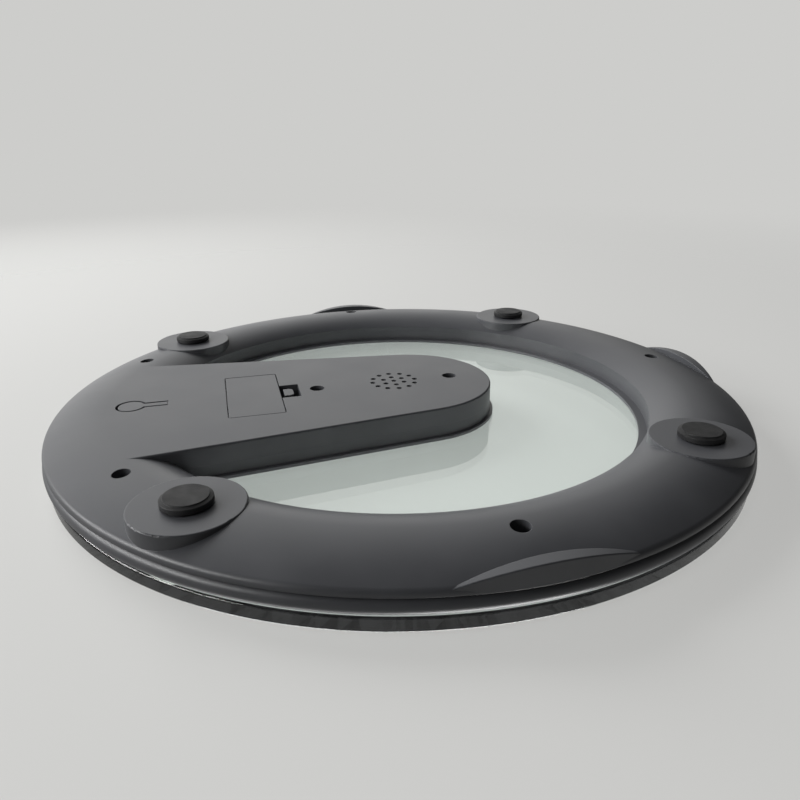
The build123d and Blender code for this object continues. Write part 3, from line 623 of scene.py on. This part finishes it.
# Acrylic foam tape: black and matt, pressed flat.
foam_tape, shader = new_material("foam_tape", IOR=1.47)
surface(foam_tape, shader, ("161618", "1e1e20"), (0.60, 0.70), cloud=4.0, grain=0.6, depth=0.02)
# Cast silicone: milky and soft, slightly glossy.
cast_silicone, shader = new_material("cast_silicone", IOR=1.41)
surface(cast_silicone, shader, ("c2c4c0", "d0d2ce"), (0.30, 0.40), cloud=6.0, grain=0.5, depth=0.01)
for node in ("bonding_tape_ring", "bonding_tape_tip"):
    finish_node(node, foam_tape)
for corner in corners:
    finish_node(f"glass_support_{corner}", cast_silicone)

# Glass platform
# A round plate of clear tempered glass with a ground and polished edge, bonded on the deck. The user
# stands on it.
glass_steps = 720
glass_edge = 1.2

# Tempered float glass: clear, with a faint green from the side. It casts no shadow on what it covers.
tempered_glass, shader = new_material("tempered_glass", IOR=1.52, Roughness=0.0, Transmission_Weight=1.0)
shader.inputs["Base Color"].default_value = linear("ecf4f1")
low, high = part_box("glass_platform")
glass_section = (
    (0, low.z / MM),
    (high.x / MM, low.z / MM),
    (high.x / MM, high.z / MM),
    (0, high.z / MM),
)
glass = turned("glass_platform_polished", glass_section, glass_steps, glass_edge, edge_steps=5)
dress(glass, "glass_platform", tempered_glass)
glass.visible_shadow = False

# Stage
# Two pale faces: the floor that the scale stands on, seen from above, and the surface that its glass
# lies on when it is turned over, seen from below. Each can only be seen from its own side. The stage,
# the lamps and the camera are placed in metres.
stage_radius = 1.1
stage_fade_start = 0.2
stage_gap = 0.05 * MM
stage_tone = "cdcdcb"
stage_glow = 0.7
stage_steps = 96
stage_paint = bpy.data.materials.new("pale_stage")
stage_paint.use_nodes = True
stage_tree = stage_paint.node_tree
stage_tree.nodes.remove(stage_tree.nodes["Principled BSDF"])
stage_place = add_node(stage_paint, "TexCoord")
stage_reach = add_node(stage_paint, "VectorMath", {0: (stage_place, "Object")}, operation="LENGTH")
fade_range = {"From Min": stage_fade_start, "From Max": stage_radius}
stage_fade = add_node(
    stage_paint,
    "MapRange",
    {"Value": (stage_reach, "Value")},
    fade_range,
    interpolation_type="SMOOTHSTEP",
)
stage_side = add_node(stage_paint, "NewGeometry")
stage_clear = add_node(
    stage_paint, "Math", {0: (stage_fade, "Result"), 1: (stage_side, "Backfacing")}, operation="MAXIMUM"
)
stage_lit = add_node(stage_paint, "BsdfDiffuse", values={"Color": linear(stage_tone)})
stage_even = add_node(stage_paint, "Emission", values={"Color": linear(stage_tone)})
stage_face = add_node(
    stage_paint, "MixShader", {1: (stage_lit, "BSDF"), 2: (stage_even, "Emission")}, {0: stage_glow}
)
stage_gone = add_node(stage_paint, "BsdfTransparent")
stage_mix = add_node(
    stage_paint,
    "MixShader",
    {0: (stage_clear, "Value"), 1: (stage_face, "Shader"), 2: (stage_gone, "BSDF")},
)
stage_tree.links.new(stage_mix.outputs["Shader"], stage_tree.nodes["Material Output"].inputs["Surface"])
glass_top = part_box("glass_platform")[1].z
stage_places = (("stage_floor", 0.0, 0.0), ("stage_under_glass", glass_top + stage_gap, pi))
for name, height, turn in stage_places:
    bpy.ops.object.select_all(action="DESELECT")
    bpy.ops.mesh.primitive_circle_add(vertices=stage_steps, radius=stage_radius, fill_type="NGON")
    plane = bpy.context.object
    plane.name = name
    plane.rotation_euler.x = turn
    plane.location.z = height
    plane.data.materials.append(stage_paint)
    plane.visible_shadow = False
    plane.visible_diffuse = False
    plane.visible_glossy = False

# Light
# Soft lamps below and above the scale and a pale room all round, which is seen straight and through
# the glass and gives a little light. In reflections it is pale above, and dim below but for one soft
# bright panel.
scene = bpy.context.scene
scene.view_settings.view_transform = "Standard"
room_tone = "e9e9e7"
room_strength = 0.07
panel_direction = Vector((-0.93, 0.15, -0.33)).normalized()
panel_range = {"From Min": 0.5, "From Max": 1.0, "To Min": 0.08, "To Max": 1.75}
upper_range = {"From Min": -0.15, "From Max": 0.15, "To Min": 0.0, "To Max": 0.6}
room = bpy.data.worlds.new("pale_room")
scene.world = room
room.use_nodes = True
room_light = room.node_tree.nodes["Background"]
room_light.inputs["Color"].default_value = linear(room_tone)
room_light.inputs["Strength"].default_value = room_strength
room_seen = add_node(room, "Background", values={"Color": linear(stage_tone), "Strength": 1.0})
room_way = add_node(room, "TexCoord")
room_axes = add_node(room, "SeparateXYZ", {"Vector": (room_way, "Generated")})
room_facing = add_node(
    room, "VectorMath", {0: (room_way, "Generated")}, {1: panel_direction}, operation="DOT_PRODUCT"
)
room_panel = add_node(
    room, "MapRange", {"Value": (room_facing, "Value")}, panel_range, interpolation_type="SMOOTHSTEP"
)
room_upper = add_node(
    room, "MapRange", {"Value": (room_axes, "Z")}, upper_range, interpolation_type="SMOOTHSTEP"
)
room_walls = add_node(
    room, "Math", {0: (room_panel, "Result"), 1: (room_upper, "Result")}, operation="MAXIMUM"
)
room_gloss = add_node(
    room, "Background", {"Strength": (room_walls, "Value")}, {"Color": linear(stage_tone)}
)
room_path = add_node(room, "LightPath")
room_through = add_node(
    room,
    "Math",
    {0: (room_path, "Is Camera Ray"), 1: (room_path, "Is Transmission Ray")},
    operation="MAXIMUM",
)
room_straight = add_node(
    room,
    "MixShader",
    {0: (room_through, "Value"), 1: (room_light, "Background"), 2: (room_seen, "Background")},
)
room_mix = add_node(
    room,
    "MixShader",
    {0: (room_path, "Is Glossy Ray"), 1: (room_straight, "Shader"), 2: (room_gloss, "Background")},
)
room_output = room.node_tree.nodes["World Output"]
room.node_tree.links.new(room_mix.outputs["Shader"], room_output.inputs["Surface"])
# Each lamp: its place, its width and height in metres, its watts, and whether it shows in reflections.
lamps = {
    "back_softbox": ((-0.95, 0.65, -0.60), (0.9, 0.9), 27.0, False),
    "overhead_softbox": ((0.20, 0.25, -1.30), (0.4, 0.4), 2.4, False),
    "left_strip": ((0.05, 0.95, -0.34), (1.2, 0.3), 8.0, True),
    "key_above": ((0.25, -0.40, 1.60), (1.0, 1.0), 17.0, True),
    "fill_above": ((-0.40, 0.30, 1.50), (1.0, 1.0), 9.0, True),
}
for name, (place, size, watts, mirrored) in lamps.items():
    lamp = bpy.data.lights.new(name, "AREA")
    lamp.shape = "ELLIPSE"
    lamp.size, lamp.size_y = size
    lamp.energy = watts
    lamp_object = bpy.data.objects.new(name, lamp)
    scene.collection.objects.link(lamp_object)
    lamp_object.location = place
    lamp_object.rotation_mode = "QUATERNION"
    lamp_object.rotation_quaternion = (-Vector(place)).to_track_quat("-Z", "Y")
    lamp_object.visible_camera = False
    lamp_object.visible_transmission = False
    lamp_object.visible_glossy = mirrored

# Camera
# The photograph looks down on the underside of the turned-over scale, so the camera stands below the
# floor, looks up, and is rolled over.
camera_place = (0.33044, 0.08465, -0.11938)
camera_aim = (-0.9011, -0.2320, 0.3662)
camera_roll = radians(180 - 0.54)
camera_lens = 31.86
camera_sensor = 36.0
camera_near = 0.01
camera = bpy.data.objects.new("photo_camera", bpy.data.cameras.new("photo_camera"))
scene.collection.objects.link(camera)
camera.data.lens = camera_lens
camera.data.sensor_width = camera_sensor
camera.data.clip_start = camera_near
camera.location = camera_place
camera.rotation_mode = "QUATERNION"
upright = Vector(camera_aim).to_track_quat("-Z", "Y")
camera.rotation_quaternion = upright @ Quaternion((0, 0, 1), camera_roll)
scene.camera = camera
